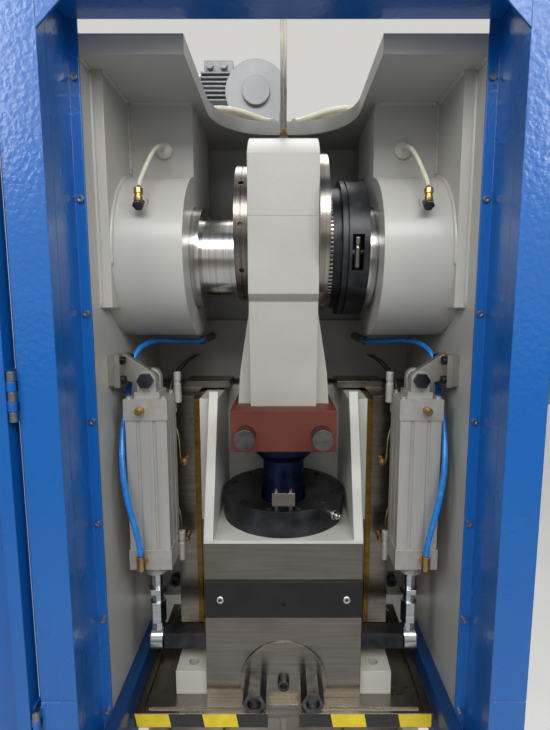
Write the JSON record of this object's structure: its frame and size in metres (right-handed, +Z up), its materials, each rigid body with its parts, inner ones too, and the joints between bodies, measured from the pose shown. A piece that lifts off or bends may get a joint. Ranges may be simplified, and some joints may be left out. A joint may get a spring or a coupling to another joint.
{
  "type": "mechanical stamping press",
  "caption": "Crank-driven stamping press: eccentric shaft with a toothed stroke-setting bush, connecting rod, guided slide, counterbalance cylinders and a sheet metal front cover.",
  "frame": {"origin": "on the floor under the crankshaft axis, in the middle of the frame from left to right", "axes": "+X to the operator's right along the crankshaft, +Y away from the operator, +Z up"},
  "size_m": [1.6, 1.0665, 2.522],
  "materials": {
    "painted_metal_grey": "satin",
    "painted_metal_blue": "orange peel gloss",
    "painted_metal_motor": "satin",
    "machined_steel": "machined",
    "polished_steel": "polished",
    "blackened_steel": "black oxide",
    "bracket_steel": "zinc",
    "red_oxide": "primer",
    "blue_black": "blued",
    "bronze": "machined",
    "brass": "satin",
    "cream_plastic": "satin",
    "cream_paint": "satin",
    "aluminium": "anodised",
    "blue_tube": "gloss",
    "cast_iron": "cast and turned",
    "rubber": "matt"
  },
  "bodies": {
    "frame": {"side_plate_left": "painted_metal_grey", "side_plate_right": "painted_metal_grey", "crown_plate": "painted_metal_grey", "rear_plate": "painted_metal_grey", "bearing_box_left": "painted_metal_grey", "bearing_box_right": "painted_metal_grey", "bed": "painted_metal_grey", "bolster_plate": "machined_steel", "levelling_feet": "blackened_steel", "cover_left": "painted_metal_blue", "cover_right": "painted_metal_blue", "cover_header": "painted_metal_blue", "cover_apron": "painted_metal_blue", "cover_screws": "machined_steel", "guide_rail_left": "machined_steel", "guide_rail_right": "machined_steel", "guide_liners": "bronze", "frame_screws": "blackened_steel", "grease_nipples": "brass", "main_bearings": "bronze", "seal_rings": "machined_steel", "oil_pipes": "cream_plastic", "cylinder_barrels": "aluminium", "drive_belts": "rubber", "cylinder_caps": "aluminium", "cylinder_brackets": "bracket_steel", "air_elbows": "brass", "air_tubes": "blue_tube", "gear_motor": "painted_metal_motor", "hose_bundles": "cream_plastic", "hose_guide": "blackened_steel", "main_motor": "painted_metal_motor", "guard": "painted_metal_blue", "door_hinges": "machined_steel"},
    "crank": {"crankshaft": "machined_steel", "stroke_bush": "polished_steel", "locking_ring": "machined_steel", "toothed_ring": "blackened_steel", "slotted_nut": "blackened_steel", "clutch_hub": "cast_iron"},
    "rod": {"conrod": "painted_metal_grey", "conrod_cap": "painted_metal_grey", "clamp_block": "red_oxide", "clamp_bolts": "blackened_steel", "ball_spindle": "blue_black", "conrod_tubes": "cream_plastic"},
    "ram": {"slide": "machined_steel", "ball_retainer": "blackened_steel", "retainer_screws": "blackened_steel", "lock_block": "machined_steel", "front_strip": "blackened_steel", "shank_clamp": "machined_steel", "clamp_nuts": "blackened_steel", "ram_plate": "machined_steel", "stop_blocks": "cream_paint", "lift_bars": "blackened_steel", "piston_rods": "machined_steel"},
    "door_leaf": {"door": "painted_metal_blue"},
    "wheel": {"flywheel": "cast_iron"},
    "pulley": {"motor_pulley": "cast_iron"}
  },
  "joints": [
    {"name": "crank_turn", "type": "hinge", "parent": "frame", "child": "crank", "pos_m": [0, 0, 1.95], "axis": [1, 0, 0], "range_deg": [0, 180]},
    {"name": "conrod_pivot", "type": "hinge", "parent": "crank", "child": "rod", "pos_m": [0, 0, 1.994], "axis": [1, 0, 0], "range_deg": [-180, 0]},
    {"name": "slide_travel", "type": "slide", "parent": "frame", "child": "ram", "axis": [0, 0, 1], "range_m": [-0.0881, 0]},
    {"name": "flywheel_spin", "type": "hinge", "parent": "frame", "child": "wheel", "pos_m": [0.43, 0, 1.95], "axis": [1, 0, 0], "continuous": true},
    {"name": "motor_pulley_spin", "type": "hinge", "parent": "frame", "child": "pulley", "pos_m": [0.43, 0.66, 1.42], "axis": [1, 0, 0], "continuous": true},
    {"name": "door_swing", "type": "hinge", "parent": "frame", "child": "door_leaf", "pos_m": [-0.372, -0.296, 1.2], "axis": [0, 0, 1], "range_deg": [0, 180]}
  ],
  "couplings": [
    {"joint": "conrod_pivot", "follows": "crank_turn", "ratio": -1},
    {"joint": "slide_travel", "follows": "crank_turn", "m_per_rad": -0.02801},
    {"joint": "motor_pulley_spin", "follows": "flywheel_spin", "ratio": 4.459}
  ]
}
